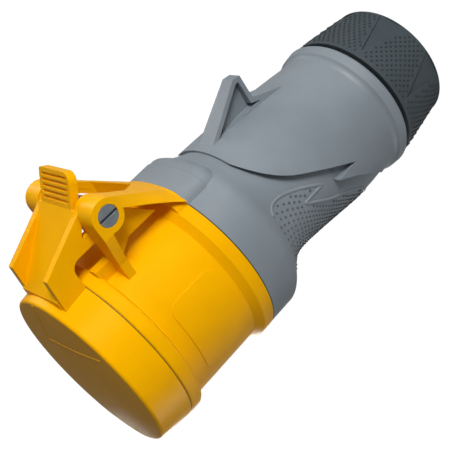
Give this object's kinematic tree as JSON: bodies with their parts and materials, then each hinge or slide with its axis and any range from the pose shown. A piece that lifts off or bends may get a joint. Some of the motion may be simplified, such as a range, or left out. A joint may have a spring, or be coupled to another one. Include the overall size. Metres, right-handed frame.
{
  "type": "industrial cable coupler",
  "caption": "Industrial cable coupler: round yellow socket housing with a sprung hinged lid, grey grip handle and screwed cable gland nut.",
  "frame": {"origin": "centre of the gland nut's rear face, on which the coupler stands", "axes": "+Z along the coupler's axis from the nut to the lid, -Y towards the lid's hinge, hinge screw's head at -X"},
  "size_m": [0.074, 0.1051, 0.187],
  "materials": {
    "yellow_plastic": "satin",
    "grey_plastic": "satin",
    "dark_plastic": "matte",
    "insulator": "matte",
    "brass": "turned",
    "steel": "zinc plated",
    "black_rubber": "matte"
  },
  "bodies": {
    "coupler": {"front_housing": "yellow_plastic", "hinge_screw": "steel", "lid_spring": "steel", "contact_carrier": "insulator", "carrier_base": "insulator", "contact_line": "brass", "contact_neutral": "brass", "contact_earth": "brass", "spring_clip_line": "steel", "spring_clip_neutral": "steel", "spring_clip_earth": "steel", "terminal_screw_line": "steel", "terminal_screw_neutral": "steel", "terminal_screw_earth": "steel", "carrier_screws": "steel", "base_screw": "steel", "housing_seal": "black_rubber", "handle": "grey_plastic", "gland_seal": "black_rubber", "gland_clamp": "insulator"},
    "lid": {"lid": "yellow_plastic", "lid_seal": "black_rubber"},
    "gland_travel": {"gland_ring": "steel"},
    "gland_nut": {"gland_nut": "dark_plastic"}
  },
  "joints": [
    {"name": "lid_hinge", "type": "hinge", "parent": "coupler", "child": "lid", "pos_m": [0, -0.053, 0.1539], "axis": [1, 0, 0], "range_deg": [0, 100], "stiffness_Nm_per_rad": 0.08, "springref_deg": -68.75},
    {"name": "gland_slide", "type": "slide", "parent": "coupler", "child": "gland_travel", "axis": [0, 0, 1], "range_m": [-0.00301, 0.00076]},
    {"name": "nut_turn", "type": "hinge", "parent": "gland_travel", "child": "gland_nut", "pos_m": [0, 0, 0.014], "axis": [0, 0, 1], "range_deg": [-360, 90]}
  ],
  "couplings": [
    {"joint": "gland_slide", "follows": "nut_turn", "m_per_rad": 0.00047746}
  ]
}
